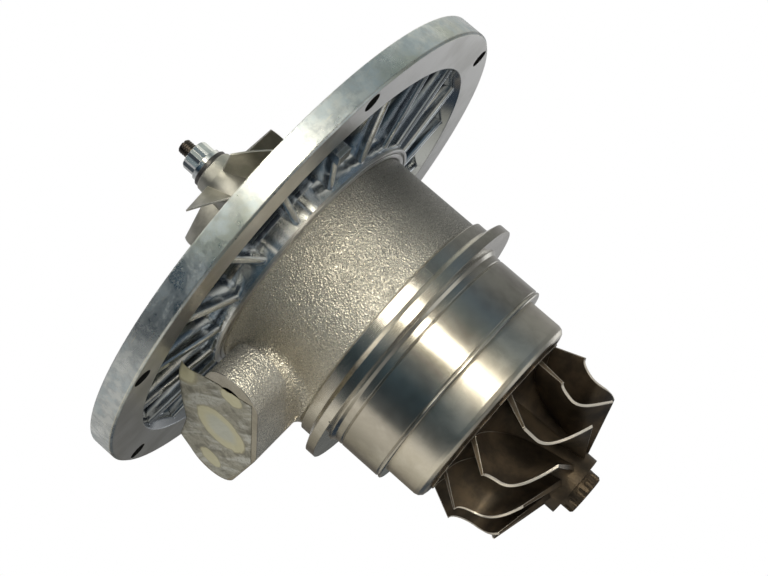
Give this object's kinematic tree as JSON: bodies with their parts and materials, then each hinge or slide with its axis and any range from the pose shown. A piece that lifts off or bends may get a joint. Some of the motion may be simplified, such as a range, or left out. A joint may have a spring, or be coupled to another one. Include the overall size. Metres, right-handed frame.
{
  "type": "turbocharger cartridge",
  "caption": "Turbocharger cartridge: a ribbed round back plate, a cast bearing housing with a taped oil drain, and a spinning rotor with turbine and compressor wheels.",
  "frame": {"origin": "on the shaft axis, in the front face of the back plate, where the compressor cover seats", "axes": "+X along the shaft towards the turbine wheel; +Z away from the oil drain, towards the oil inlet"},
  "size_m": [0.2127, 0.22, 0.22],
  "materials": {
    "plate_aluminium": "satin",
    "screw_steel": "satin",
    "seal_rubber": "matte",
    "insert_aluminium": "satin",
    "spring_steel": "satin",
    "pressed_steel": "satin",
    "bearing_bronze": "satin",
    "housing_iron": "rough casting",
    "shield_steel": "satin",
    "masking_tape": "matte",
    "ring_iron": "ground",
    "shaft_steel": "ground",
    "turbine_alloy": "rough casting",
    "wheel_aluminium": "satin",
    "dark_steel": "satin",
    "nut_steel": "bright"
  },
  "bodies": {
    "cartridge": {"back_plate": "plate_aluminium", "plate_screws": "screw_steel", "plate_seal": "seal_rubber", "seal_insert": "insert_aluminium", "insert_seal": "seal_rubber", "insert_lock_ring": "spring_steel", "oil_deflector": "pressed_steel", "thrust_bearing": "bearing_bronze", "thrust_pins": "spring_steel", "bearing_housing": "housing_iron", "bearing_snap_rings": "spring_steel", "heat_shield": "shield_steel", "drain_tape": "masking_tape", "sleeve_seal_ring": "ring_iron", "turbine_seal_ring": "ring_iron"},
    "rotor": {"rotor_shaft": "shaft_steel", "thrust_collar": "pressed_steel", "oil_sleeve": "pressed_steel", "turbine_hub": "turbine_alloy", "turbine_blades": "turbine_alloy", "compressor_hub": "wheel_aluminium", "compressor_blades": "wheel_aluminium", "nut_washer": "dark_steel", "shaft_nut": "nut_steel"},
    "front_bearing": {"front_floating_bearing": "bearing_bronze"},
    "rear_bearing": {"rear_floating_bearing": "bearing_bronze"}
  },
  "joints": [
    {"name": "rotor_spin", "type": "hinge", "parent": "cartridge", "child": "rotor", "pos_m": [0, 0, 0], "axis": [1, 0, 0], "continuous": true},
    {"name": "front_bearing_spin", "type": "hinge", "parent": "cartridge", "child": "front_bearing", "pos_m": [0.04, 0, 0], "axis": [1, 0, 0], "continuous": true},
    {"name": "rear_bearing_spin", "type": "hinge", "parent": "cartridge", "child": "rear_bearing", "pos_m": [0.066, 0, 0], "axis": [1, 0, 0], "continuous": true}
  ],
  "couplings": [
    {"joint": "front_bearing_spin", "follows": "rotor_spin", "ratio": 0.3},
    {"joint": "rear_bearing_spin", "follows": "rotor_spin", "ratio": 0.3}
  ]
}
